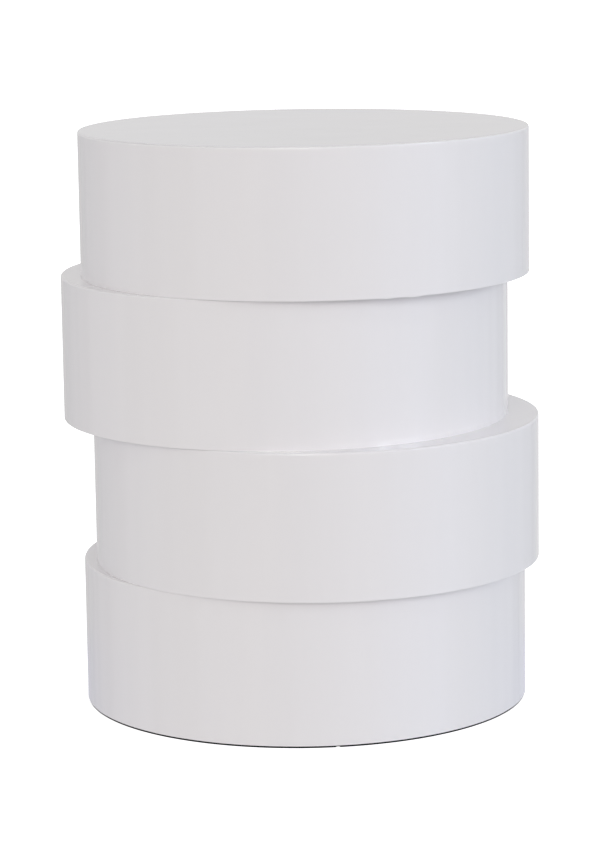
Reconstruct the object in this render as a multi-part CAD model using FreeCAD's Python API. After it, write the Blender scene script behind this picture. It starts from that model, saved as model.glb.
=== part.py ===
import FreeCAD, Part
import math
import os

# Side table of four equal lacquered drums, stacked off-centre and clamped by one draw rod.
# Millimetres. +Z is up and the front is -Y. The origin is on the floor, on the rod's axis.
# Every drum is a torsion box: two rebated panels, a kerf-bent wall core in the rebates, a thin
# outer skin wrapped over both, and four half-lapped ribs round the cell that the rod runs through.

# --- the stack ---
drum_diameter = 432.0
tier_height = 139.0
# where each drum's own axis stands, seen from the rod
tier_1_x, tier_1_y = 1.7, 6.3
tier_2_x, tier_2_y = 14.4, -6.3
tier_3_x, tier_3_y = -14.4, 5.4
tier_4_x, tier_4_y = 5.7, -5.6

# --- the wall of a drum ---
skin_thickness = 3.0
upper_rim_round = 1.2
lower_rim_chamfer = 0.3
core_thickness = 9.0
kerf_count = 60
kerf_width = 2.5
kerf_depth = 6.5
butt_gap = 0.5

# --- the panels of a drum ---
top_panel_thickness = 15.0
bottom_panel_thickness = 12.0
base_panel_thickness = 18.0
rebate_depth = 6.0
rebate_clearance = 0.3

# --- the ribs of a drum ---
rib_thickness = 12.0
cell_width = 110.0
lap_clearance = 0.2
rib_end_clearance = 1.0

# --- dowels between two drums ---
dowel_diameter = 10.0
dowel_length = 18.0
dowel_chamfer = 1.0
dowel_spread = 250.0
dowel_clearance = 0.1
dowel_end_clearance = 0.5

# --- the draw rod and what it pulls on ---
rod_diameter = 10.0
rod_hole_clearance = 0.75
rod_tip = 1.5
rod_chamfer = 1.0
tee_barrel_diameter = 13.0
tee_barrel_length = 10.0
tee_flange_diameter = 28.0
tee_flange_thickness = 1.6
tee_hole_clearance = 0.2
washer_diameter = 30.0
washer_thickness = 2.5
nut_across_flats = 17.0
nut_height = 8.0
recess_diameter = 38.0
recess_depth = 13.0

# --- the strip that the table stands on ---
strip_thickness = 1.5
strip_width = 12.0
strip_inset = 1.5
strip_gap = 3.0
strip_gap_angle = -82.5

# --- worked out from the above ---
skin_radius = drum_diameter / 2
panel_radius = skin_radius - skin_thickness
core_inner_radius = panel_radius - core_thickness
tier_centres = [
    (tier_1_x, tier_1_y),
    (tier_2_x, tier_2_y),
    (tier_3_x, tier_3_y),
    (tier_4_x, tier_4_y),
]
tier_count = len(tier_centres)
rod_hole_radius = rod_diameter / 2 + rod_hole_clearance
thread_radius = rod_diameter / 2
dowel_hole_radius = dowel_diameter / 2 + dowel_clearance
dowel_hole_depth = (dowel_length + dowel_end_clearance) / 2
nut_seat = strip_thickness + recess_depth


def turned(profile, x=0.0, y=0.0):
    """A solid of revolution about the vertical line through x, y. The profile is (radius, z) points."""
    points = [FreeCAD.Vector(r, 0, z) for r, z in profile]
    face = Part.Face(Part.makePolygon(points + points[:1]))
    solid = face.revolve(FreeCAD.Vector(0, 0, 0), FreeCAD.Vector(0, 0, 1), 360)
    solid.translate(FreeCAD.Vector(x, y, 0))
    return solid


def ring(inner, outer, low, high, x=0.0, y=0.0):
    return turned([(inner, low), (outer, low), (outer, high), (inner, high)], x, y)


def disc(radius, low, high, x=0.0, y=0.0):
    return Part.makeCylinder(radius, high - low, FreeCAD.Vector(x, y, low))


def block(low_x, low_y, low_z, high_x, high_y, high_z):
    corner = FreeCAD.Vector(low_x, low_y, low_z)
    return Part.makeBox(high_x - low_x, high_y - low_y, high_z - low_z, corner)


def polar(radius, angle, z):
    return FreeCAD.Vector(radius * math.cos(angle), radius * math.sin(angle), z)


def tier_floor(tier):
    return strip_thickness + tier * tier_height


def lower_panel_thickness(tier):
    return base_panel_thickness if tier == 0 else bottom_panel_thickness


def dowel_places():
    return [(-dowel_spread / 2, 0.0), (dowel_spread / 2, 0.0)]


def outer_skin(tier):
    """The thin bent sheet that shows, wrapped over the core and both panels. Its upper rim is rounded,
    and its lower rim is nearly sharp, so that a drum meets the one below without a groove."""
    x, y = tier_centres[tier]
    low = tier_floor(tier)
    high = low + tier_height
    skin = turned([
        (panel_radius, low),
        (skin_radius - lower_rim_chamfer, low),
        (skin_radius, low + lower_rim_chamfer),
        (skin_radius, high),
        (panel_radius, high),
    ], x, y)
    upper_rim = [
        edge
        for edge in skin.Edges
        if hasattr(edge.Curve, "Radius")
        and abs(edge.Curve.Radius - skin_radius) < 1e-6
        and abs(edge.Curve.Center.z - high) < 1e-6
        and edge.isClosed()
    ]
    return skin.makeFillet(upper_rim_round, upper_rim)


def wall_core(tier):
    """A board bent into a ring by kerfs on its inner face, which close at the mouth as it bends."""
    x, y = tier_centres[tier]
    low = tier_floor(tier) + lower_panel_thickness(tier) - rebate_depth
    high = tier_floor(tier) + tier_height - top_panel_thickness + rebate_depth
    kerf_mouth = kerf_width - 2 * math.pi * kerf_depth / kerf_count
    kerf_radius = core_inner_radius + kerf_depth
    mouth_half = kerf_mouth / 2 / core_inner_radius
    bottom_half = kerf_width / 2 / kerf_radius
    pitch = 2 * math.pi / kerf_count
    # the butt joints of neighbouring drums are on opposite sides
    joint = math.radians(90 if tier % 2 == 0 else -90)
    half_gap = butt_gap / 2 / panel_radius

    def arc(radius, start, end):
        middle = (start + end) / 2
        places = [polar(radius, angle, low) for angle in (start, middle, end)]
        return Part.Arc(*places).toShape()

    def line(radius_1, angle_1, radius_2, angle_2):
        return Part.makeLine(polar(radius_1, angle_1, low), polar(radius_2, angle_2, low))

    start = joint + half_gap
    end = joint + 2 * math.pi - half_gap
    opposite = joint + math.pi
    edges = [arc(panel_radius, start, opposite), arc(panel_radius, opposite, end)]
    edges.append(line(panel_radius, end, core_inner_radius, end))
    land_end = end
    for kerf in reversed(range(kerf_count)):
        middle = joint + (kerf + 0.5) * pitch
        mouth = (middle + mouth_half, middle - mouth_half)
        bottom = (middle + bottom_half, middle - bottom_half)
        edges.append(arc(core_inner_radius, land_end, mouth[0]))
        edges.append(line(core_inner_radius, mouth[0], kerf_radius, bottom[0]))
        edges.append(line(kerf_radius, bottom[0], kerf_radius, bottom[1]))
        edges.append(line(kerf_radius, bottom[1], core_inner_radius, mouth[1]))
        land_end = mouth[1]
    edges.append(arc(core_inner_radius, land_end, start))
    edges.append(line(core_inner_radius, start, panel_radius, start))
    core = Part.Face(Part.Wire(edges)).extrude(FreeCAD.Vector(0, 0, high - low))
    core.translate(FreeCAD.Vector(x, y, 0))
    return core


def rebated_panel(tier, low, high, rebate_low):
    """A disc with a step round one face, where the wall core seats. The step is as wide as the core."""
    x, y = tier_centres[tier]
    step_radius = core_inner_radius - rebate_clearance
    if rebate_low:
        step = ring(step_radius, panel_radius + 1, low - 1, low + rebate_depth, x, y)
    else:
        step = ring(step_radius, panel_radius + 1, high - rebate_depth, high + 1, x, y)
    return disc(panel_radius, low, high, x, y).cut(step)


def top_panel(tier):
    """Flush with the skin's upper edge. The drum above stands on it, except on the highest drum."""
    high = tier_floor(tier) + tier_height
    low = high - top_panel_thickness
    panel = rebated_panel(tier, low, high, True)
    if tier < tier_count - 1:
        panel = panel.cut(disc(rod_hole_radius, low - 1, high + 1))
        for x, y in dowel_places():
            panel = panel.cut(disc(dowel_hole_radius, high - dowel_hole_depth, high + 1, x, y))
    return panel


def bottom_panel(tier):
    """Flush with the skin's lower edge. The lowest one is thicker, for the recess of the nut."""
    low = tier_floor(tier)
    high = low + lower_panel_thickness(tier)
    panel = rebated_panel(tier, low, high, False)
    panel = panel.cut(disc(rod_hole_radius, low - 1, high + 1))
    if tier == 0:
        panel = panel.cut(disc(recess_diameter / 2, low - 1, low + recess_depth))
    else:
        for x, y in dowel_places():
            panel = panel.cut(disc(dowel_hole_radius, low - 1, low + dowel_hole_depth, x, y))
    if tier == tier_count - 1:
        tee_hole_radius = tee_barrel_diameter / 2 + tee_hole_clearance
        panel = panel.cut(disc(tee_hole_radius, low - 1, high + 1))
    return panel


def ribs(tier):
    """Four ribs on edge round the rod's cell. Two run across, slotted from above, and two run from
    front to back over them, slotted from below."""
    x, y = tier_centres[tier]
    low = tier_floor(tier) + lower_panel_thickness(tier)
    high = tier_floor(tier) + tier_height - top_panel_thickness
    room = disc(core_inner_radius - rib_end_clearance, low, high, x, y)
    middle = (low + high) / 2
    reach = drum_diameter
    near = cell_width / 2
    far = near + rib_thickness
    slot_near = near - lap_clearance / 2
    slot_far = far + lap_clearance / 2
    bands = [(-slot_far, -slot_near), (slot_near, slot_far)]
    across_slots = [
        block(a, -reach, middle - lap_clearance / 2, b, reach, high + 1) for a, b in bands
    ]
    along_slots = [
        block(-reach, a, low - 1, reach, b, middle + lap_clearance / 2) for a, b in bands
    ]
    front = block(-reach, -far, low, reach, -near, high)
    back = block(-reach, near, low, reach, far, high)
    left = block(-far, -reach, low, -near, reach, high)
    right = block(near, -reach, low, far, reach, high)
    return {
        "rib_front": front.common(room).cut(across_slots),
        "rib_back": back.common(room).cut(across_slots),
        "rib_left": left.common(room).cut(along_slots),
        "rib_right": right.common(room).cut(along_slots),
    }


def dowels(tier):
    """Two plain dowels in the joint on top of this drum. They stand on the floors of their holes."""
    joint = tier_floor(tier) + tier_height
    radius = dowel_diameter / 2
    low = joint - dowel_hole_depth
    high = low + dowel_length
    profile = [
        (0, low),
        (radius - dowel_chamfer, low),
        (radius, low + dowel_chamfer),
        (radius, high - dowel_chamfer),
        (radius - dowel_chamfer, high),
        (0, high),
    ]
    return Part.makeCompound([turned(profile, x, y) for x, y in dowel_places()])


def tee_seat():
    return tier_floor(tier_count - 1) + bottom_panel_thickness


def draw_rod():
    """Runs from the recess in the base up through every drum to just above the tee nut. Its thread is
    drawn as a plain shaft, and the nuts' threads as bores of the same size."""
    radius = thread_radius
    low = nut_seat - washer_thickness - nut_height - rod_tip
    high = tee_seat() + tee_flange_thickness + rod_tip
    return turned([
        (0, low),
        (radius - rod_chamfer, low),
        (radius, low + rod_chamfer),
        (radius, high - rod_chamfer),
        (radius - rod_chamfer, high),
        (0, high),
    ])


def tee_nut():
    """A flange on the highest drum's bottom panel, and a barrel let into it."""
    seat = tee_seat()
    return turned([
        (thread_radius, seat - tee_barrel_length),
        (tee_barrel_diameter / 2, seat - tee_barrel_length),
        (tee_barrel_diameter / 2, seat),
        (tee_flange_diameter / 2, seat),
        (tee_flange_diameter / 2, seat + tee_flange_thickness),
        (thread_radius, seat + tee_flange_thickness),
    ])


def rod_washer():
    return ring(rod_hole_radius, washer_diameter / 2, nut_seat - washer_thickness, nut_seat)


def rod_nut():
    """A hexagon with its corners turned off at both ends."""
    high = nut_seat - washer_thickness
    low = high - nut_height
    corner_radius = nut_across_flats / 2 / math.cos(math.pi / 6)
    corners = [polar(corner_radius, math.pi / 3 * side, low) for side in range(6)]
    hexagon = Part.Face(Part.makePolygon(corners + corners[:1]))
    prism = hexagon.extrude(FreeCAD.Vector(0, 0, nut_height))
    chamfer = (corner_radius - nut_across_flats / 2) * math.tan(math.pi / 6)
    turned_blank = turned([
        (thread_radius, low),
        (nut_across_flats / 2, low),
        (corner_radius, low + chamfer),
        (corner_radius, high - chamfer),
        (nut_across_flats / 2, high),
        (thread_radius, high),
    ])
    return prism.common(turned_blank)


def glide_strip():
    """A flat black strip stuck round the underside, a little in from the wall, its ends butted."""
    x, y = tier_centres[0]
    outer = skin_radius - strip_inset
    band = ring(outer - strip_width, outer, 0, strip_thickness, x, y)
    gap = block(0, -strip_gap / 2, -1, skin_radius, strip_gap / 2, strip_thickness + 1)
    gap.rotate(FreeCAD.Vector(0, 0, 0), FreeCAD.Vector(0, 0, 1), strip_gap_angle)
    gap.translate(FreeCAD.Vector(x, y, 0))
    return band.cut(gap)


def save(name, shape):
    if not shape.isValid() or not shape.Solids:
        raise ValueError(name + " is not a good solid")
    if len(shape.Solids) == 1:
        shape = shape.Solids[0]
    shape.exportStep(os.path.join("parts", name + ".step"))
    volume = sum(solid.Volume for solid in shape.Solids)
    print(f"{name:24s} {len(shape.Solids)} solids {len(shape.Faces):4d} faces {volume / 1000:9.1f} cm3")


os.makedirs("parts", exist_ok=True)
for tier in range(tier_count):
    drum = f"tier_{tier + 1}_"
    save(drum + "outer_skin", outer_skin(tier))
    save(drum + "wall_core", wall_core(tier))
    save(drum + "top_panel", top_panel(tier))
    save(drum + "bottom_panel", bottom_panel(tier))
    for name, rib in ribs(tier).items():
        save(drum + name, rib)
for tier in range(tier_count - 1):
    save(f"joint_{tier + 1}_{tier + 2}_dowels", dowels(tier))
save("draw_rod", draw_rod())
save("tee_nut", tee_nut())
save("rod_washer", rod_washer())
save("rod_nut", rod_nut())
save("glide_strip", glide_strip())
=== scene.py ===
import math
import random

import bpy
from mathutils import Matrix, Vector


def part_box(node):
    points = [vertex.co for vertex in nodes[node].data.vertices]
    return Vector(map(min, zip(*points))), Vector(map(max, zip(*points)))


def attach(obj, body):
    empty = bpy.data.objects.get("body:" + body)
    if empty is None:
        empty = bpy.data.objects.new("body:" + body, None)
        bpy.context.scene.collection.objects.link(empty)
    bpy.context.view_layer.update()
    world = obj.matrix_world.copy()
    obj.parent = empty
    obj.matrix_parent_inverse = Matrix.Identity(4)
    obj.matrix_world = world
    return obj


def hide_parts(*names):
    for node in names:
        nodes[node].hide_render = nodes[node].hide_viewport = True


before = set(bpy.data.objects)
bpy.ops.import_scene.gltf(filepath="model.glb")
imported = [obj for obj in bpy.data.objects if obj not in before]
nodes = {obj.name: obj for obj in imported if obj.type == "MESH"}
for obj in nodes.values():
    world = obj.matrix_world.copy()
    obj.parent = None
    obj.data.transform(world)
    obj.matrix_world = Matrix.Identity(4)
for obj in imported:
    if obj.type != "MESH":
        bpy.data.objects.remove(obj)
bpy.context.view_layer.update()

tierCount = 4
tiers = range(1, tierCount + 1)
hair = 1e-6  # metres, tells which corners lie at a height
nudge = 1e-5  # metres, tells which corners lie on a radius
smoothUpTo = 35  # degrees, a sharper bend between two faces stays an edge
print("frame loaded:", len(nodes), "nodes")


# a long lens, a little above the table, turned by less than a degree
camera = dict(
    place=(-0.00132, -3.13513, 0.82133),
    pitchDown=10.096,
    roll=-0.844,
    lens=137.31,
    sensor=36,
    seesTo=60,
)


def setCamera():
    data = bpy.data.cameras.new("tableCamera")
    data.lens = camera["lens"]
    data.sensor_width = camera["sensor"]
    data.clip_end = camera["seesTo"]
    cam = bpy.data.objects.new("tableCamera", data)
    bpy.context.scene.collection.objects.link(cam)
    pitch = math.radians(camera["pitchDown"])
    roll = math.radians(camera["roll"])
    forward = Vector((0, math.cos(pitch), -math.sin(pitch)))
    level = Vector((1, 0, 0))
    upright = Vector((0, math.sin(pitch), math.cos(pitch)))
    right = math.cos(roll) * level + math.sin(roll) * upright
    up = -math.sin(roll) * level + math.cos(roll) * upright
    turn = Matrix((right, up, -forward)).transposed().to_4x4()
    cam.matrix_world = Matrix.Translation(camera["place"]) @ turn
    bpy.context.scene.camera = cam
    bpy.context.scene.view_settings.view_transform = "Standard"


setCamera()
print("camera set")


class Wire:
    # an output socket that can be written in sums, each operator adds a Math node
    def __init__(self, graph, socket):
        self.graph = graph
        self.socket = socket

    def __add__(self, other):
        return self.graph.maths("ADD", self, other)

    __radd__ = __add__

    def __mul__(self, other):
        return self.graph.maths("MULTIPLY", self, other)

    __rmul__ = __mul__

    def __sub__(self, other):
        return self.graph.maths("SUBTRACT", self, other)

    def __rsub__(self, other):
        return self.graph.maths("SUBTRACT", other, self)

    def __neg__(self):
        return self.graph.maths("MULTIPLY", self, -1)

    def __abs__(self):
        return self.graph.maths("ABSOLUTE", self)


class Graph:
    # a node tree, built one node at a time
    def __init__(self, tree):
        self.tree = tree
        self.tree.nodes.clear()

    def node(self, kind, settings=None, values=None, out=0):
        made = self.tree.nodes.new(kind)
        for name, value in (settings or {}).items():
            setattr(made, name, value)
        for name, value in (values or {}).items():
            if isinstance(value, Wire):
                self.tree.links.new(value.socket, made.inputs[name])
            else:
                made.inputs[name].default_value = value
        return Wire(self, made.outputs[out]) if made.outputs else made

    def maths(self, operation, *values):
        return self.node("ShaderNodeMath", dict(operation=operation), dict(enumerate(values)))

    def ramp(self, value, low, high):
        # 0 below low, 1 above high, with an eased step between
        return self.node("ShaderNodeMapRange", dict(interpolation_type="SMOOTHSTEP"),
                         {"Value": value, "From Min": low, "From Max": high})

    def bump(self, value, centre, half, soft):
        # 1 within half of the centre, eased out over soft
        away = abs(value - centre)
        return 1 - self.ramp(away, half, half + soft)

    def mixColour(self, factor, first, second, blend="MIX"):
        def colour(value):
            return value if isinstance(value, Wire) else (*value, 1)
        return self.node("ShaderNodeMix", dict(data_type="RGBA", blend_type=blend),
                         {0: factor, 6: colour(first), 7: colour(second)}, out=2)

    def objectPlace(self, middle=(0, 0, 0), scale=(1, 1, 1)):
        # Object coordinates, measured from the middle of the piece
        place = self.node("ShaderNodeTexCoord", out=3)
        centred = self.node("ShaderNodeMapping", values={
            "Vector": place, "Location": tuple(-m for m in middle)})
        return self.node("ShaderNodeMapping", values={"Vector": centred, "Scale": scale})

    def split(self, vector):
        made = self.node("ShaderNodeSeparateXYZ", values={0: vector})
        return [Wire(self, socket) for socket in made.socket.node.outputs]

    def join(self, x, y, z):
        return self.node("ShaderNodeCombineXYZ", values={0: x, 1: y, 2: z})

    def heading(self, vector):
        return self.node("ShaderNodeVectorMath", dict(operation="NORMALIZE"), {0: vector})

    def length(self, vector):
        return self.node("ShaderNodeVectorMath", dict(operation="LENGTH"), {0: vector}, out=1)

    def noise(self, place, scale, detail=2.0, rough=0.5, distortion=0.0):
        return self.node("ShaderNodeTexNoise", dict(noise_dimensions="3D"), {
            "Vector": place, "Scale": scale, "Detail": detail,
            "Roughness": rough, "Distortion": distortion})

    def relief(self, height, strength, depth, under=None):
        values = {"Height": height, "Strength": strength, "Distance": depth}
        if under:
            values["Normal"] = under
        return self.node("ShaderNodeBump", values=values)


# a soft room all round that the gloss can mirror, in degrees round from the camera's side, right
# positive, and in degrees up
studio = dict(
    # how bright the plain paper behind the table is
    backdrop=1.05,
    # each row goes round the room from behind, on the left: from this azimuth on, this bright
    ground=((-180, 0.62), (-160, 0.57), (-128, 0.54), (-118, 0.70), (-90, 0.62), (-35, 0.345),
            (35, 0.54), (85, 0.46), (120, 0.60), (155, 0.73)),
    horizon=((-180, 0.75), (-112, 0.88), (-35, 1.39), (35, 1.25), (75, 1.20), (118, 0.75)),
    boxes=((-180, 0.75), (-112, 0.90), (-35, 1.0), (-19, 4.6), (9, 1.0), (48, 6.4),
           (54.5, 1.15), (59.5, 4.3), (73, 1.18), (120, 0.75)),
    ceiling=((-180, 0.44), (0, 0.50)),
    rowSoft=dict(ground=1.5, horizon=3, boxes=2, ceiling=20),
    # a row takes over from the one below it between these heights
    rowStarts=dict(horizon=(-3, -1), boxes=(7, 9), ceiling=(24, 28)),
    tints=((-180, (1.01, 1, 1)), (-112, (0.985, 1, 1.03)), (-35, (1.04, 1, 0.925)),
           (35, (0.93, 1, 1.13)), (80, (0.95, 1, 0.99)), (118, (1.01, 1, 1))),
    tintSoft=8,
    # between these heights the room is a little bluer
    lowTint=(0.955, 0.97, 1.09),
    lowBand=(-18.2, -13.7),
    lowSoft=0.8,
    # panels, doors and stands of the room's front half, as upright bands, wide and narrow ones
    bands=0.18,
    bandsEnd=(80, 115),
    wideScale=2.6,
    wideEdge=(0.47, 0.49),
    narrowScale=8.0,
    narrowEdge=(0.50, 0.53),
)


def setWorld():
    world = bpy.data.worlds.new("softStudio")
    bpy.context.scene.world = world
    world.use_nodes = True
    sky = Graph(world.node_tree)
    x, y, z = sky.split(sky.node("ShaderNodeTexCoord"))
    toDegrees = 180 / math.pi
    azimuth = sky.maths("ARCTAN2", x, -y) * toDegrees
    height = sky.maths("ARCSINE", z) * toDegrees

    def row(name):
        soft = studio["rowSoft"][name]
        before = studio[name][0][1]
        level = before
        for edge, after in studio[name][1:]:
            level = level + (after - before) * sky.ramp(azimuth, edge - soft, edge + soft)
            before = after
        return level

    around = sky.heading(sky.join(x, y, 0))
    wide = sky.noise(around, studio["wideScale"], detail=2.0)
    narrow = sky.noise(around, studio["narrowScale"], detail=1.0)
    bands = sky.ramp(wide, *studio["wideEdge"]) + sky.ramp(narrow, *studio["narrowEdge"]) - 1
    ahead = 1 - sky.ramp(abs(azimuth), *studio["bandsEnd"])
    below = row("ground") + studio["bands"] * bands * ahead
    level = below
    for name, (start, end) in studio["rowStarts"].items():
        above = row(name)
        level = level + (above - below) * sky.ramp(height, start, end)
        below = above

    soft = studio["tintSoft"]
    tint = studio["tints"][0][1]
    for edge, after in studio["tints"][1:]:
        tint = sky.mixColour(sky.ramp(azimuth, edge - soft, edge + soft), tint, after)
    bottom, top = studio["lowBand"]
    half = (top - bottom - studio["lowSoft"]) / 2
    low = sky.bump(height, (bottom + top) / 2, half, studio["lowSoft"])
    tint = sky.mixColour(low, tint, studio["lowTint"], "MULTIPLY")

    light = sky.node("ShaderNodeBackground", values={"Color": tint, "Strength": level})
    plain = sky.node("ShaderNodeBackground", values={
        "Color": (1, 1, 1, 1), "Strength": studio["backdrop"]})
    seen = sky.node("ShaderNodeLightPath")
    both = sky.node("ShaderNodeMixShader", values={0: seen, 1: light, 2: plain})
    sky.node("ShaderNodeOutputWorld", values={"Surface": both})


# a soft light up in front: degrees round and up from the middle of the table, metres, radiance
softbox = dict(
    aim=(0, 0, 0.28),
    azimuth=-7,
    height=44,
    away=3.0,
    width=0.7,
    tall=0.5,
    glow=1.4,
    colour=(1.0, 0.985, 0.965),
)


def setSoftbox():
    around = math.radians(softbox["azimuth"])
    up = math.radians(softbox["height"])
    way = Vector((math.sin(around) * math.cos(up), -math.cos(around) * math.cos(up), math.sin(up)))
    data = bpy.data.lights.new("frontSoftbox", "AREA")
    data.shape = "RECTANGLE"
    data.size = softbox["width"]
    data.size_y = softbox["tall"]
    data.energy = softbox["glow"] * math.pi * softbox["width"] * softbox["tall"]
    data.color = softbox["colour"]
    lamp = bpy.data.objects.new("frontSoftbox", data)
    bpy.context.scene.collection.objects.link(lamp)
    lamp.location = Vector(softbox["aim"]) + way * softbox["away"]
    lamp.rotation_euler = (-way).to_track_quat("-Z", "Y").to_euler()
    lamp.visible_camera = False


setWorld()
setSoftbox()
print("studio set")


def newFinish(name):
    material = bpy.data.materials.new(name)
    material.use_nodes = True
    return material, Graph(material.node_tree)


def closeFinish(graph, sockets):
    shader = graph.node("ShaderNodeBsdfPrincipled", values=sockets)
    graph.node("ShaderNodeOutputMaterial", values={"Surface": shader})


# high-gloss lacquer, with faint columns up the walls
lacquer = dict(
    colour=(0.872, 0.851, 0.874),
    thin=(0.856, 0.836, 0.860),
    refraction=1.5,
    coat=0.3,
    coatRoughness=0.03,
    # roughness, and what the clouds and the columns add to it
    roughness=0.08,
    cloudHaze=0.05,
    columnHaze=0.03,
    # columns and broad waves: how fine they are, how fast they change with height, and how far
    # one drum's pattern lies from the next one's
    columnScale=17.0,
    columnRise=0.6,
    columnShift=3.1,
    broadScale=3.0,
    broadRise=2,
    broadShift=1.7,
    broadShare=0.5,
    streakDepth=0.00005,
    cloudScale=14.0,
    cloudShare=0.2,
    peelScale=420.0,
    peelDepth=0.000012,
    # between these distances from the drum's axis the columns set in, the flat faces have none
    wallFrom=0.2125,
    wallTo=0.2155,
)


def whiteLacquer(tier):
    low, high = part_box(f"tier_{tier}_outer_skin")
    material, graph = newFinish(f"whiteLacquer{tier}")
    place = graph.objectPlace(tuple((low + high) / 2))
    x, y, z = graph.split(place)
    flat = graph.join(x, y, 0)
    aroundX, aroundY, aroundZ = graph.split(graph.heading(flat))

    def upright(kind):
        # fine round the drum, very slow in height
        rise = z * lacquer[kind + "Rise"] + tier * lacquer[kind + "Shift"]
        return graph.join(aroundX, aroundY, rise)

    onWall = graph.ramp(graph.length(flat), lacquer["wallFrom"], lacquer["wallTo"])
    columns = graph.noise(upright("column"), lacquer["columnScale"], detail=3.0, rough=0.6) * onWall
    broad = graph.noise(upright("broad"), lacquer["broadScale"]) * onWall
    peel = graph.noise(place, lacquer["peelScale"])
    cloud = graph.noise(place, lacquer["cloudScale"], detail=3.0)
    share = lacquer["cloudShare"]
    colour = graph.mixColour(columns * (1 - share) + cloud * share, lacquer["thin"], lacquer["colour"])
    gloss = lacquer["roughness"] + lacquer["cloudHaze"] * cloud + lacquer["columnHaze"] * columns
    streaks = columns + broad * lacquer["broadShare"]
    normal = graph.relief(streaks, strength=1.0, depth=lacquer["streakDepth"])
    normal = graph.relief(peel, strength=1.0, depth=lacquer["peelDepth"], under=normal)
    closeFinish(graph, {
        "Base Color": colour, "Roughness": gloss, "Normal": normal, "IOR": lacquer["refraction"],
        "Coat Weight": lacquer["coat"], "Coat Roughness": lacquer["coatRoughness"],
        "Coat IOR": lacquer["refraction"]})
    return material


# bare fibreboard of the kerfed wall cores
fibreboard = dict(
    dark=(0.34, 0.235, 0.15),
    light=(0.56, 0.43, 0.30),
    patch=(0.47, 0.35, 0.23),
    patchShare=0.35,
    roughness=0.82,
    fibreRoughness=0.12,
    fibreScale=900.0,
    patchScale=60.0,
)


def rawMdf():
    material, graph = newFinish("rawMdf")
    place = graph.objectPlace()
    fibre = graph.noise(place, fibreboard["fibreScale"], detail=4.0, rough=0.7)
    patch = graph.noise(place, fibreboard["patchScale"], detail=3.0, rough=0.6)
    colour = graph.mixColour(fibre, fibreboard["dark"], fibreboard["light"])
    colour = graph.mixColour(patch * fibreboard["patchShare"], colour, fibreboard["patch"])
    closeFinish(graph, {
        "Base Color": colour,
        "Roughness": fibreboard["roughness"] + fibreboard["fibreRoughness"] * fibre,
        "Normal": graph.relief(fibre, strength=0.6, depth=0.00015)})
    return material


# birch plywood of the ribs, with its plies on the edges
birch = dict(
    dark=(0.62, 0.46, 0.29),
    light=(0.80, 0.66, 0.47),
    endGrain=(0.46, 0.31, 0.18),
    endShare=0.25,
    roughness=0.62,
    grainRoughness=0.2,
    plyThickness=0.0015,
    # half a ply's light line, and where it has faded out
    plyLine=(0.0001, 0.0004),
    grainScale=9.0,
    # how fine the grain is along the board, through it and in height
    stretch=(8, 60, 90),
)


def birchPly(name, across):
    # across is the way through the board's thickness
    material, graph = newFinish(name)
    x, y, z = graph.split(graph.objectPlace())
    through, along = (y, x) if across == "y" else (x, y)
    thick = birch["plyThickness"]
    wave = graph.maths("PINGPONG", through, thick)
    ply = graph.ramp(abs(wave - thick / 2), *birch["plyLine"])
    fineAlong, fineThrough, fineUp = birch["stretch"]
    grainPlace = graph.join(along * fineAlong, through * fineThrough, z * fineUp)
    grain = graph.noise(grainPlace, birch["grainScale"], detail=4.0, rough=0.6, distortion=0.4)
    colour = graph.mixColour(grain, birch["dark"], birch["light"])
    colour = graph.mixColour(ply * birch["endShare"], colour, birch["endGrain"])
    closeFinish(graph, {
        "Base Color": colour, "Roughness": birch["roughness"] + birch["grainRoughness"] * grain,
        "Normal": graph.relief(grain, strength=0.5, depth=0.0002)})
    return material


# beech of the dowels, its grain and flecks drawn out along them
beech = dict(
    dark=(0.58, 0.37, 0.22),
    light=(0.78, 0.58, 0.39),
    fleck=(0.42, 0.25, 0.14),
    roughness=0.5,
    grainRoughness=0.2,
    grainScale=600.0,
    grainStretch=(1, 1, 0.08),
    fleckScale=900.0,
    fleckStretch=(1, 1, 0.2),
    fleckSize=(0.05, 0.2),
)


def turnedBeech():
    material, graph = newFinish("turnedBeech")
    grainPlace = graph.objectPlace(scale=beech["grainStretch"])
    grain = graph.noise(grainPlace, beech["grainScale"], detail=4.0, rough=0.6)
    fleck = graph.node("ShaderNodeTexVoronoi", dict(feature="F1"), {
        "Vector": graph.objectPlace(scale=beech["fleckStretch"]), "Scale": beech["fleckScale"]})
    colour = graph.mixColour(grain, beech["dark"], beech["light"])
    colour = graph.mixColour(1 - graph.ramp(fleck, *beech["fleckSize"]), colour, beech["fleck"])
    closeFinish(graph, {
        "Base Color": colour, "Roughness": beech["roughness"] + beech["grainRoughness"] * grain,
        "Normal": graph.relief(grain, strength=0.5, depth=0.0001)})
    return material


# zinc-plated steel of the rod, its nuts and its washer
zinc = dict(
    dull=(0.50, 0.51, 0.50),
    bright=(0.72, 0.72, 0.68),
    roughness=0.26,
    turnedRoughness=0.2,
    turnedScale=160.0,
    turnedStretch=(1, 1, 14),
    patchScale=120.0,
)


def zincSteel():
    material, graph = newFinish("zincSteel")
    turnedPlace = graph.objectPlace(scale=zinc["turnedStretch"])
    turned = graph.noise(turnedPlace, zinc["turnedScale"], detail=3.0)
    patch = graph.noise(graph.objectPlace(), zinc["patchScale"], detail=3.0, rough=0.6)
    colour = graph.mixColour(patch, zinc["dull"], zinc["bright"])
    closeFinish(graph, {
        "Base Color": colour, "Metallic": 1.0,
        "Roughness": zinc["roughness"] + zinc["turnedRoughness"] * turned,
        "Normal": graph.relief(turned, strength=0.4, depth=0.0001)})
    return material


# matt rubber of the strip, with a little dust
rubber = dict(
    black=(0.008, 0.008, 0.010),
    dusty=(0.035, 0.033, 0.030),
    dustEdge=(0.5, 0.8),
    dustShare=0.5,
    dustScale=90.0,
    roughness=0.75,
    grainRoughness=0.2,
    grainScale=1400.0,
    shine=0.2,
)


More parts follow.
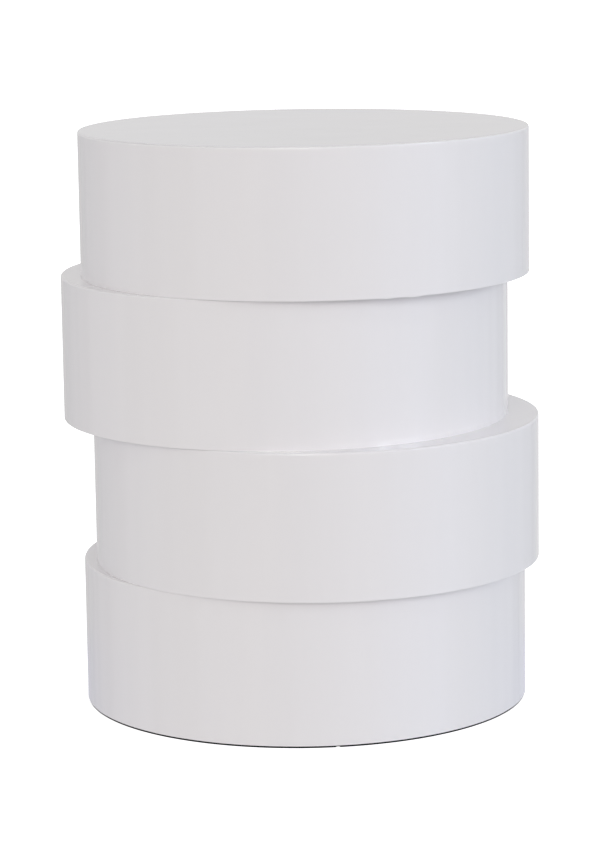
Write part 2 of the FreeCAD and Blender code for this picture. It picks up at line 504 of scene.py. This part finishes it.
def blackRubber():
    material, graph = newFinish("blackRubber")
    place = graph.objectPlace()
    grain = graph.noise(place, rubber["grainScale"], detail=3.0, rough=0.6)
    dusty = graph.noise(place, rubber["dustScale"], detail=4.0, rough=0.6)
    dust = graph.ramp(dusty, *rubber["dustEdge"])
    colour = graph.mixColour(dust * rubber["dustShare"], rubber["black"], rubber["dusty"])
    closeFinish(graph, {
        "Base Color": colour, "Specular IOR Level": rubber["shine"],
        "Roughness": rubber["roughness"] + rubber["grainRoughness"] * grain,
        "Normal": graph.relief(grain, strength=0.6, depth=0.0001)})
    return material


def cover(piece, material):
    piece.data.materials.clear()
    piece.data.materials.append(material)


lacquers = {tier: whiteLacquer(tier) for tier in tiers}
coreFinish = rawMdf()
plyAcross = birchPly("plyAcross", "y")
plyAlong = birchPly("plyAlong", "x")
for tier in tiers:
    cover(nodes[f"tier_{tier}_wall_core"], coreFinish)
    for side in ("front", "back"):
        cover(nodes[f"tier_{tier}_rib_{side}"], plyAcross)
    for side in ("left", "right"):
        cover(nodes[f"tier_{tier}_rib_{side}"], plyAlong)
dowelFinish = turnedBeech()
for joint in ("1_2", "2_3", "3_4"):
    cover(nodes[f"joint_{joint}_dowels"], dowelFinish)
steelFinish = zincSteel()
for name in ("draw_rod", "tee_nut", "rod_washer", "rod_nut"):
    cover(nodes[name], steelFinish)
print("finishes mixed")


def letGo():
    bpy.ops.object.select_all(action="DESELECT")


def roundNode(name):
    # the middle of its underside, its radius and its height
    low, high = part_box(name)
    foot = Vector(((low.x + high.x) / 2, (low.y + high.y) / 2, low.z))
    return foot, (high.x - low.x) / 2, high.z - low.z


def pickEdges(piece, wanted):
    # selects the edges whose two ends pass the test, and stays in edit mode
    mesh = piece.data
    bpy.ops.object.mode_set(mode="EDIT")
    bpy.ops.mesh.select_mode(type="EDGE")
    bpy.ops.mesh.select_all(action="DESELECT")
    bpy.ops.object.mode_set(mode="OBJECT")
    spots = [v.co.copy() for v in mesh.vertices]
    for edge in mesh.edges:
        edge.select = all(wanted(spots[v]) for v in edge.vertices)
    bpy.ops.object.mode_set(mode="EDIT")


def easeEdges(piece, wanted, size, steps):
    pickEdges(piece, wanted)
    bpy.ops.mesh.bevel(offset=size, segments=steps, affect="EDGES")
    bpy.ops.object.mode_set(mode="OBJECT")


def push(x=0, y=0, z=0):
    bpy.ops.mesh.extrude_region_move(TRANSFORM_OT_translate={"value": (x, y, z)})


def cutOut(piece, tool, name):
    # takes the tool's shape out of the piece, and then the tool away
    letGo()
    piece.select_set(True)
    bpy.context.view_layer.objects.active = piece
    cut = piece.modifiers.new(name, "BOOLEAN")
    cut.operation = "DIFFERENCE"
    cut.solver = "EXACT"
    cut.object = tool
    bpy.ops.object.modifier_apply(modifier=name)
    bpy.data.objects.remove(tool)


def finishPiece(piece, name, material, replaced):
    # faces outwards, its place into its mesh, then onto the frame
    bpy.ops.object.mode_set(mode="EDIT")
    bpy.ops.mesh.select_all(action="SELECT")
    bpy.ops.mesh.normals_make_consistent(inside=False)
    bpy.ops.object.mode_set(mode="OBJECT")
    bpy.ops.object.transform_apply(location=True, rotation=True, scale=True)
    bpy.ops.object.shade_smooth_by_angle(angle=math.radians(smoothUpTo))
    piece.name = name
    piece.data.name = name
    cover(piece, material)
    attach(piece, "root")
    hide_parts(replaced)
    return piece


# walls: the bent outer skins, rounded over at the rim and crisp below
wall = dict(
    columns=720,
    rimRound=0.0012,
    rimSteps=3,
    # just below the round, the edge was sanded back by hand
    sandedTall=0.0008,
    sandedSlope=0.19,
    lowerEase=0.00008,
    lowerSteps=1,
    support=0.0003,
    rows=8,
    rippleDepth=0.00028,
    seed=40,
    # one ripple for each land of the kerfed core
    kerfTurns=60,
    kerfRipple=0.8,
    # and these by chance: how many times each goes round, how strong it is, and its start in
    # radians. Ripples that go round more often than evenTurns are weaker, by the power of fade
    ripples=16,
    rippleTurns=(15, 71),
    rippleSize=(0.3, 1.0),
    rippleStart=(0, 6.28),
    evenTurns=30,
    fade=1.3,
    samples=2000,
    # how far the ripples lean round the drum for each metre up
    rippleLean=0.05,
    # lacquer that ran over the top drum's lower edge: degrees round, half width in degrees
    runs=((-70.1, 1.9), (-62.9, 3.0)),
    runDepth=0.0008,
)


def rippleAround(tier):
    # how far the lacquered wall dips, from 0 to 1 by angle
    rng = random.Random(wall["seed"] + tier)
    waves = [(wall["kerfTurns"], wall["kerfRipple"], rng.uniform(*wall["rippleStart"]))]
    for count in range(wall["ripples"]):
        turns = rng.randint(*wall["rippleTurns"])
        size = rng.uniform(*wall["rippleSize"]) * (wall["evenTurns"] / turns) ** wall["fade"]
        waves.append((turns, size, rng.uniform(*wall["rippleStart"])))

    def dip(angle):
        return sum(size * math.cos(turns * angle + start) for turns, size, start in waves)

    samples = [dip(math.tau * n / wall["samples"]) for n in range(wall["samples"])]
    lowest, highest = min(samples), max(samples)
    return lambda angle: (dip(angle) - lowest) / (highest - lowest)


def runAround(angle):
    # 1 in the middle of a run of lacquer, 0 beyond its ends
    sag = 0
    for place, half in wall["runs"]:
        off = min(abs(math.degrees(angle) - place) / half, 1)
        sag = max(sag, (1 - off ** 2) ** 1.5)
    return sag


def makeHoop(columns, middle, radius, innerRadius, levels, edge, foot):
    # a closed upright band: up the outside by the levels, in over the top, down and out again
    letGo()
    bpy.ops.mesh.primitive_circle_add(
        vertices=columns, radius=radius, fill_type="NOTHING", location=middle)
    hoop = bpy.context.object
    bpy.ops.object.mode_set(mode="EDIT")
    bpy.ops.mesh.select_all(action="SELECT")
    height = 0.0
    for level in levels:
        push(z=level - height)
        height = level
    for start, end in ((radius, radius - edge), (radius - edge, innerRadius)):
        push()
        bpy.ops.transform.resize(value=(end / start, end / start, 1))
    push(z=-height)
    push()
    under = radius - foot
    bpy.ops.transform.resize(value=(under / innerRadius, under / innerRadius, 1))
    pickEdges(hoop, lambda p: p.z < hair and p.xy.length > under - nudge)
    bpy.ops.mesh.bridge_edge_loops()
    bpy.ops.object.mode_set(mode="OBJECT")
    return hoop


def makeWall(tier):
    node = f"tier_{tier}_outer_skin"
    middle, radius, tall = roundNode(node)
    innerRadius = roundNode(f"tier_{tier}_top_panel")[1]
    sanded = tall - wall["rimRound"] - wall["sandedTall"]
    sandedBack = wall["sandedSlope"] * (tall - sanded)
    edge = wall["rimRound"] + wall["support"]
    foot = wall["lowerEase"] + wall["support"]
    straight = sanded - wall["support"] - foot
    levels = [foot + straight * n / wall["rows"] for n in range(wall["rows"] + 1)]
    levels += [sanded, tall - edge, tall]
    skin = makeHoop(wall["columns"], middle, radius, innerRadius, levels, edge + sandedBack, foot)
    ripple = rippleAround(tier)
    for vertex in skin.data.vertices:
        spot = vertex.co
        angle = math.atan2(spot.y, spot.x)
        if tier == tierCount and spot.z < hair and spot.xy.length > radius - foot - nudge:
            spot.z -= wall["runDepth"] * runAround(angle)
        if spot.xy.length > radius - nudge:
            around = radius - wall["rippleDepth"] * ripple(angle + wall["rippleLean"] * spot.z)
            around -= wall["sandedSlope"] * max(spot.z - sanded, 0)
            spot.x = around * math.cos(angle)
            spot.y = around * math.sin(angle)
    rim = radius - wall["rippleDepth"] - sandedBack - nudge
    easeEdges(skin, lambda p: abs(p.z - tall) < hair and p.xy.length > rim,
              wall["rimRound"], wall["rimSteps"])
    easeEdges(skin, lambda p: p.z < hair and p.xy.length > rim,
              wall["lowerEase"], wall["lowerSteps"])
    return finishPiece(skin, f"wall{tier}", lacquers[tier], node)


for tier in tiers:
    skin = makeWall(tier)
    print("wall", tier, len(skin.data.polygons), "faces")


# panels: tops and bottoms of the drums, rebated for the kerfed wall and drilled for the rod, the
# dowels and the nut
panel = dict(
    columns=720,
    rebate=0.006,
    coreThickness=0.0093,
    holeColumns=64,
    rodHole=0.00575,
    teeHole=0.0067,
    dowelHole=0.0051,
    dowelDepth=0.00925,
    dowelPlace=0.125,
    nutRecess=0.019,
    recessDepth=0.013,
    drillBeyond=0.001,
)


def drill(board, radius, low, high, x=0.0):
    # a round hole from height low to high
    letGo()
    bpy.ops.mesh.primitive_cylinder_add(
        vertices=panel["holeColumns"], radius=radius, depth=high - low,
        location=(x, 0, (low + high) / 2))
    cutOut(board, bpy.context.object, "hole")


def drillPanel(board, tier, end, low, high):
    beyond = panel["drillBeyond"]
    if (end, tier) == ("top", tierCount):
        return
    rodHole = panel["teeHole"] if (end, tier) == ("bottom", tierCount) else panel["rodHole"]
    drill(board, rodHole, low - beyond, high + beyond)
    if (end, tier) == ("bottom", 1):
        drill(board, panel["nutRecess"], low - beyond, low + panel["recessDepth"])
        return
    for x in (-panel["dowelPlace"], panel["dowelPlace"]):
        if end == "top":
            drill(board, panel["dowelHole"], high - panel["dowelDepth"], high + beyond, x)
        else:
            drill(board, panel["dowelHole"], low - beyond, low + panel["dowelDepth"], x)


def makePanel(tier, end):
    # the shown face first, then inwards
    node = f"tier_{tier}_{end}_panel"
    foot, radius, thick = roundNode(node)
    inward = -1 if end == "top" else 1
    shown = foot + Vector((0, 0, thick)) if end == "top" else foot
    letGo()
    bpy.ops.mesh.primitive_circle_add(
        vertices=panel["columns"], radius=radius, fill_type="NGON", location=shown)
    board = bpy.context.object
    bpy.ops.object.mode_set(mode="EDIT")
    bpy.ops.mesh.select_all(action="SELECT")
    push(z=inward * (thick - panel["rebate"]))
    bpy.ops.mesh.inset(thickness=panel["coreThickness"], depth=0)
    push(z=inward * panel["rebate"])
    bpy.ops.mesh.select_all(action="SELECT")
    bpy.ops.mesh.normals_make_consistent(inside=False)
    bpy.ops.object.mode_set(mode="OBJECT")
    drillPanel(board, tier, end, foot.z, foot.z + thick)
    return finishPiece(board, f"{end}{tier}", lacquers[tier], node)


for tier in tiers:
    for end in ("top", "bottom"):
        board = makePanel(tier, end)
        print("panel", end, tier, len(board.data.polygons), "faces")


# the strip that the table stands on: black rubber with eased edges, cut where its ends meet
strip = dict(
    columns=720,
    width=0.012,
    ease=0.0002,
    easeSteps=2,
    gap=0.003,
    gapAngle=-82.5,
    # the blade that cuts the gap, in widths and heights of the strip
    bladeLong=1.5,
    bladeTall=3,
)


def makeStrip():
    node = "glide_strip"
    middle, radius, tall = roundNode(node)
    edge = strip["ease"] * 2
    band = makeHoop(strip["columns"], middle, radius, radius - strip["width"],
                    [edge, tall - edge, tall], edge, edge)
    corner = radius - strip["ease"]
    for height in (0, tall):
        easeEdges(band, lambda p: abs(p.z - height) < hair and p.xy.length > corner,
                  strip["ease"], strip["easeSteps"])
    turn = math.radians(strip["gapAngle"])
    out = radius - strip["width"] / 2
    blade = (strip["width"] * strip["bladeLong"], strip["gap"], tall * strip["bladeTall"])
    letGo()
    bpy.ops.mesh.primitive_cube_add(
        size=1, location=middle + Vector((out * math.cos(turn), out * math.sin(turn), tall / 2)),
        rotation=(0, 0, turn), scale=blade)
    cutOut(band, bpy.context.object, "gap")
    return finishPiece(band, "strip", blackRubber(), node)


makeStrip()
print("strip finished")


# pale floor, seen by the camera alone, with a painted shadow under the table and in a thin ring round
# the strip: metres
paper = dict(
    radius=22.0,
    corners=96,
    drop=0.0002,
    colour=(0.93, 0.93, 0.93),
    grain=(0.92, 0.92, 0.92),
    grainScale=40.0,
    glow=0.74,
    # colour of the painted shadow on the paper
    dark=(0.02, 0.02, 0.02),
    # the painted shadow below the table ends this far outside the strip, and a little more in front
    paintedShadowEnd=(-0.0007, 0.0014),
    paintedShadowForward=0.0008,
    # in the strip's gap the painted shadow ends further in
    gapPaintedShadowEnd=(-0.0035, -0.001),
    gapSoft=0.4,
)


def makeFloor():
    letGo()
    bpy.ops.mesh.primitive_circle_add(
        vertices=paper["corners"], radius=paper["radius"], fill_type="NGON",
        location=(0, 0, -paper["drop"]))
    floor = bpy.context.object
    floor.name = "paleFloor"
    material, graph = newFinish("palePaper")
    grain = graph.noise(graph.objectPlace(), paper["grainScale"], detail=3.0)
    colour = graph.mixColour(grain, paper["grain"], paper["colour"])
    foot, rim, tall = roundNode("glide_strip")
    # the painted shadow's middle sits a little in front of the strip's
    place = graph.objectPlace(tuple(foot + Vector((0, -paper["paintedShadowForward"], tall / 2))))
    away = graph.length(place)
    x, y, z = graph.split(place)
    around = graph.maths("ARCTAN2", y, x)
    half = strip["gap"] / 2 / rim
    gap = graph.bump(around, math.radians(strip["gapAngle"]), half, half * paper["gapSoft"])
    # painted shadow mask: 0 under the table and just round the strip, 1 on the open paper
    start, end = paper["paintedShadowEnd"]
    outsidePaintedShadow = graph.ramp(away, rim + start, rim + end)
    start, end = paper["gapPaintedShadowEnd"]
    outsidePaintedShadow = outsidePaintedShadow + (1 - outsidePaintedShadow) * gap * graph.ramp(away, rim + start, rim + end)
    # the painted shadow darkens the paper's colour and turns off its glow
    sheet = graph.node("ShaderNodeBsdfDiffuse", values={
        "Color": graph.mixColour(outsidePaintedShadow, paper["dark"], colour)})
    glow = graph.node("ShaderNodeEmission", values={
        "Color": graph.mixColour(outsidePaintedShadow, (0, 0, 0), (1, 1, 1)), "Strength": paper["glow"]})
    both = graph.node("ShaderNodeAddShader", values={0: sheet, 1: glow})
    graph.node("ShaderNodeOutputMaterial", values={"Surface": both})
    cover(floor, material)
    floor.visible_glossy = False
    floor.visible_diffuse = False
    floor.visible_shadow = False


makeFloor()
print("floor laid")
